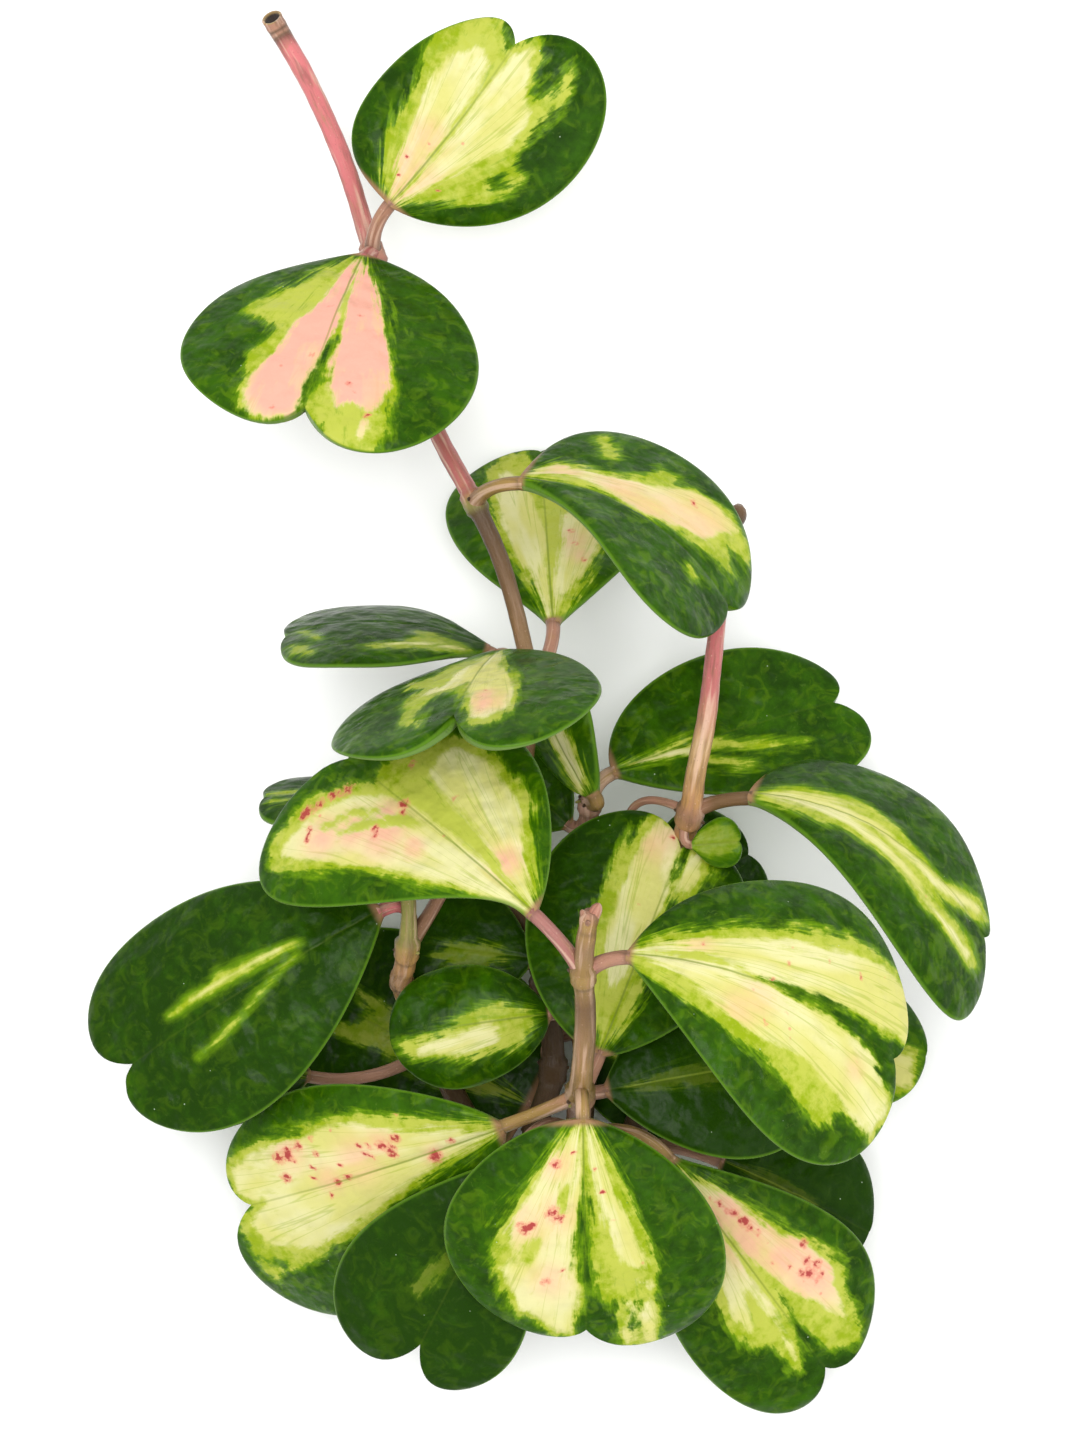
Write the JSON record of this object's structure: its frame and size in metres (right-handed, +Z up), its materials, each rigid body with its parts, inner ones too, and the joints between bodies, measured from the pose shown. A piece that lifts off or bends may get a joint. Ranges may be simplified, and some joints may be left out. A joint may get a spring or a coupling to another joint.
{
  "type": "inner variegated sweetheart hoya",
  "caption": "Cut climbing plant lying on its back: jointed shoots from one woody crown with thick heart-shaped leaves, dark green at the edge and cream inside.",
  "frame": {"origin": "bottom centre of the bounding box, on the surface that the plant lies on", "axes": "+Y up the long vine, away from the cut crown; +X to the plant's right as seen from above; +Z up, out of the leaves' upper faces"},
  "size_m": [0.2197, 0.3469, 0.1214],
  "materials": {
    "leaf_green": "satin",
    "leaf_cream": "satin",
    "stem_bark": "matte"
  },
  "bodies": {
    "root": {"stem_crown": "stem_bark", "stem_front": "stem_bark", "stem_long_vine": "stem_bark", "stem_right_vine": "stem_bark", "stem_left": "stem_bark", "stem_back": "stem_bark", "leaf_top_upper": "leaf_cream", "leaf_top_pink": "leaf_green", "leaf_mid_back": "leaf_cream", "leaf_mid_arched": "leaf_green", "leaf_side_left": "leaf_green", "leaf_saddle": "leaf_green", "leaf_right_back": "leaf_green", "leaf_right_arched": "leaf_green", "leaf_inner_cream": "leaf_green", "leaf_inner_small": "leaf_green", "leaf_left_back": "leaf_green", "leaf_left_large": "leaf_cream", "leaf_centre_cream": "leaf_cream", "leaf_right_large": "leaf_cream", "leaf_right_low_back": "leaf_green", "leaf_left_dark": "leaf_green", "leaf_inner_left": "leaf_green", "leaf_inner_shadow": "leaf_green", "leaf_rest_left": "leaf_green", "leaf_under_left": "leaf_green", "leaf_front_left": "leaf_cream", "leaf_bottom_green": "leaf_green", "leaf_front": "leaf_green", "leaf_bottom_right": "leaf_green", "leaf_low_right_dark": "leaf_green", "leaf_under_right": "leaf_green", "leaf_young": "leaf_green", "leaf_young_hidden": "leaf_green", "leaf_centre_back": "leaf_green", "leaf_rest_right": "leaf_green"}
  },
  "joints": []
}
